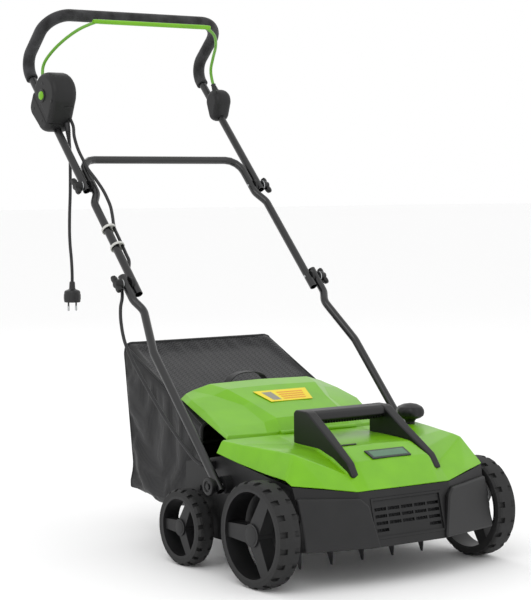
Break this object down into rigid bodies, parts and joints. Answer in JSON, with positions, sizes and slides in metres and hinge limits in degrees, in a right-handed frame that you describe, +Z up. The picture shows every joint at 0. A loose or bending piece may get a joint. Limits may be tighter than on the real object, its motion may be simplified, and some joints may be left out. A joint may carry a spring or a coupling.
{
  "type": "lawn dethatcher",
  "caption": "Corded electric lawn dethatcher with a moulded deck, spring tine reel, cranked front axle, folding tubular handle with switch bail, and a fabric grass bag.",
  "frame": {"origin": "on the ground, midway along and across the whole machine", "axes": "+Z up, -Y towards the front of the machine, +X to the right seen from the front"},
  "size_m": [0.576, 1.0816, 1.1278],
  "materials": {
    "deck_plastic": "fine-grained moulded plastic",
    "green_plastic": "glossy moulded plastic",
    "dark_plastic": "satin moulded plastic",
    "badge_green": "printed badge",
    "rim_plastic": "moulded plastic",
    "tyre_rubber": "ribbed rubber",
    "zinc_steel": "zinc plated",
    "cast_housing": "die cast",
    "tine_steel": "blackened spring steel",
    "tube_black": "satin powder coat",
    "green_metal": "powder coat and moulded bar",
    "grip_foam": "fine foam",
    "cord_pvc": "pvc sheath",
    "belt_rubber": "ribbed belt",
    "bag_fabric": "woven polyester",
    "tie_nylon": "nylon"
  },
  "bodies": {
    "chassis": {"deck_housing": "deck_plastic", "front_grille": "deck_plastic", "top_cover": "green_plastic", "carry_handle": "dark_plastic", "badge_plate": "badge_green", "hood_screws": "zinc_steel", "reel_hood": "deck_plastic", "rear_axle": "zinc_steel", "depth_quadrant": "zinc_steel", "motor_housing": "cast_housing", "drive_belt": "belt_rubber", "belt_guard": "deck_plastic", "reel_bearings": "zinc_steel", "flap_hinge_pin": "zinc_steel", "flap_spring": "zinc_steel"},
    "reel": {"reel_shaft": "zinc_steel", "reel_pulley": "cast_housing", "tine_plates": "tine_steel", "tine_spacers": "dark_plastic"},
    "motor": {"motor_rotor": "zinc_steel", "motor_pulley": "cast_housing"},
    "depth_axle_body": {"depth_axle": "zinc_steel"},
    "depth_lever_body": {"depth_lever": "dark_plastic"},
    "wheel_front_left": {"rim_front_left": "rim_plastic", "tyre_front_left": "tyre_rubber"},
    "wheel_front_right": {"rim_front_right": "rim_plastic", "tyre_front_right": "tyre_rubber"},
    "wheel_rear_left": {"rim_rear_left": "rim_plastic", "tyre_rear_left": "tyre_rubber"},
    "wheel_rear_right": {"rim_rear_right": "rim_plastic", "tyre_rear_right": "tyre_rubber"},
    "flap": {"rear_flap": "green_plastic"},
    "grass_bag": {"bag_cloth": "bag_fabric", "bag_frame": "tine_steel", "bag_handle": "dark_plastic"},
    "handle_lower": {"lower_tube_left": "tube_black", "lower_tube_right": "tube_black", "motor_lead_lower": "cord_pvc"},
    "handle_middle": {"middle_frame": "tube_black", "clamp_saddles": "dark_plastic", "motor_lead_middle": "cord_pvc", "cable_ties": "tie_nylon"},
    "handle_upper": {"upper_frame": "tube_black", "foam_grip": "grip_foam", "switch_box_front": "dark_plastic", "switch_box_rear": "dark_plastic", "switch_block": "dark_plastic", "pivot_box": "dark_plastic", "cord_relief": "cord_pvc", "mains_cord": "cord_pvc", "mains_plug": "cord_pvc", "motor_lead_upper": "cord_pvc"},
    "bail": {"bail_lever": "green_metal"},
    "lock_button_body": {"lock_button": "green_plastic"},
    "deck_knob_left_body": {"deck_knob_left": "dark_plastic"},
    "deck_knob_right_body": {"deck_knob_right": "dark_plastic"},
    "lower_knob_left_body": {"lower_knob_left": "dark_plastic"},
    "lower_knob_right_body": {"lower_knob_right": "dark_plastic"},
    "upper_knob_left_body": {"upper_knob_left": "dark_plastic"},
    "upper_knob_right_body": {"upper_knob_right": "dark_plastic"}
  },
  "joints": [
    {"name": "reel_spin", "type": "hinge", "parent": "chassis", "child": "reel", "pos_m": [0, -0.3968, 0.095], "axis": [1, 0, 0], "continuous": true},
    {"name": "motor_spin", "type": "hinge", "parent": "chassis", "child": "motor", "pos_m": [0, -0.3168, 0.203], "axis": [1, 0, 0], "continuous": true},
    {"name": "depth_crank", "type": "hinge", "parent": "chassis", "child": "depth_axle_body", "pos_m": [0, -0.4788, 0.135], "axis": [1, 0, 0], "range_deg": [-4.2, 4.2]},
    {"name": "depth_lever_tilt", "type": "hinge", "parent": "chassis", "child": "depth_lever_body", "pos_m": [0.224, -0.2708, 0.172], "axis": [1, 0, 0], "range_deg": [-15, 15]},
    {"name": "front_left_spin", "type": "hinge", "parent": "depth_axle_body", "child": "wheel_front_left", "pos_m": [-0.265, -0.4168, 0.1], "axis": [1, 0, 0], "continuous": true},
    {"name": "front_right_spin", "type": "hinge", "parent": "depth_axle_body", "child": "wheel_front_right", "pos_m": [0.265, -0.4168, 0.1], "axis": [1, 0, 0], "continuous": true},
    {"name": "rear_left_spin", "type": "hinge", "parent": "chassis", "child": "wheel_rear_left", "pos_m": [-0.262, -0.1628, 0.075], "axis": [1, 0, 0], "continuous": true},
    {"name": "rear_right_spin", "type": "hinge", "parent": "chassis", "child": "wheel_rear_right", "pos_m": [0.262, -0.1628, 0.075], "axis": [1, 0, 0], "continuous": true},
    {"name": "flap_lift", "type": "hinge", "parent": "chassis", "child": "flap", "pos_m": [0, -0.2448, 0.255], "axis": [1, 0, 0], "range_deg": [0, 65], "stiffness_Nm_per_rad": 0.3, "springref_deg": -28.65},
    {"name": "bag_slide", "type": "slide", "parent": "chassis", "child": "grass_bag", "axis": [0, 1, 0], "range_m": [0, 0.2]},
    {"name": "lower_fold", "type": "hinge", "parent": "chassis", "child": "handle_lower", "pos_m": [0, -0.2668, 0.17], "axis": [1, 0, 0], "range_deg": [0, 100]},
    {"name": "middle_fold", "type": "hinge", "parent": "handle_lower", "child": "handle_middle", "pos_m": [0, 0.08956, 0.53902], "axis": [-1, 0, 0], "range_deg": [-140, 0]},
    {"name": "upper_fold", "type": "hinge", "parent": "handle_middle", "child": "handle_upper", "pos_m": [0, 0.28198, 0.73828], "axis": [1, 0, 0], "range_deg": [0, 130]},
    {"name": "bail_squeeze", "type": "hinge", "parent": "handle_upper", "child": "bail", "pos_m": [0, 0.43974, 0.93764], "axis": [-1, 0, 0], "range_deg": [0, 14], "stiffness_Nm_per_rad": 2, "springref_deg": -14.32},
    {"name": "lock_button_press", "type": "slide", "parent": "handle_upper", "child": "lock_button_body", "axis": [1, 0, 0], "range_m": [0, 0.004], "stiffness_N_per_m": 400, "springref_m": -0.002},
    {"name": "deck_knob_left_turn", "type": "hinge", "parent": "chassis", "child": "deck_knob_left_body", "pos_m": [-0.274, -0.2668, 0.17], "axis": [1, 0, 0], "continuous": true},
    {"name": "deck_knob_right_turn", "type": "hinge", "parent": "chassis", "child": "deck_knob_right_body", "pos_m": [0.274, -0.2668, 0.17], "axis": [1, 0, 0], "continuous": true},
    {"name": "lower_knob_left_turn", "type": "hinge", "parent": "handle_lower", "child": "lower_knob_left_body", "pos_m": [-0.262, 0.08956, 0.53902], "axis": [1, 0, 0], "continuous": true},
    {"name": "lower_knob_right_turn", "type": "hinge", "parent": "handle_lower", "child": "lower_knob_right_body", "pos_m": [0.262, 0.08956, 0.53902], "axis": [1, 0, 0], "continuous": true},
    {"name": "upper_knob_left_turn", "type": "hinge", "parent": "handle_upper", "child": "upper_knob_left_body", "pos_m": [-0.245, 0.28198, 0.73828], "axis": [1, 0, 0], "continuous": true},
    {"name": "upper_knob_right_turn", "type": "hinge", "parent": "handle_upper", "child": "upper_knob_right_body", "pos_m": [0.245, 0.28198, 0.73828], "axis": [1, 0, 0], "continuous": true}
  ],
  "couplings": [
    {"joint": "motor_spin", "follows": "reel_spin", "ratio": 2.5},
    {"joint": "depth_lever_tilt", "follows": "depth_crank", "ratio": -3.5217}
  ]
}
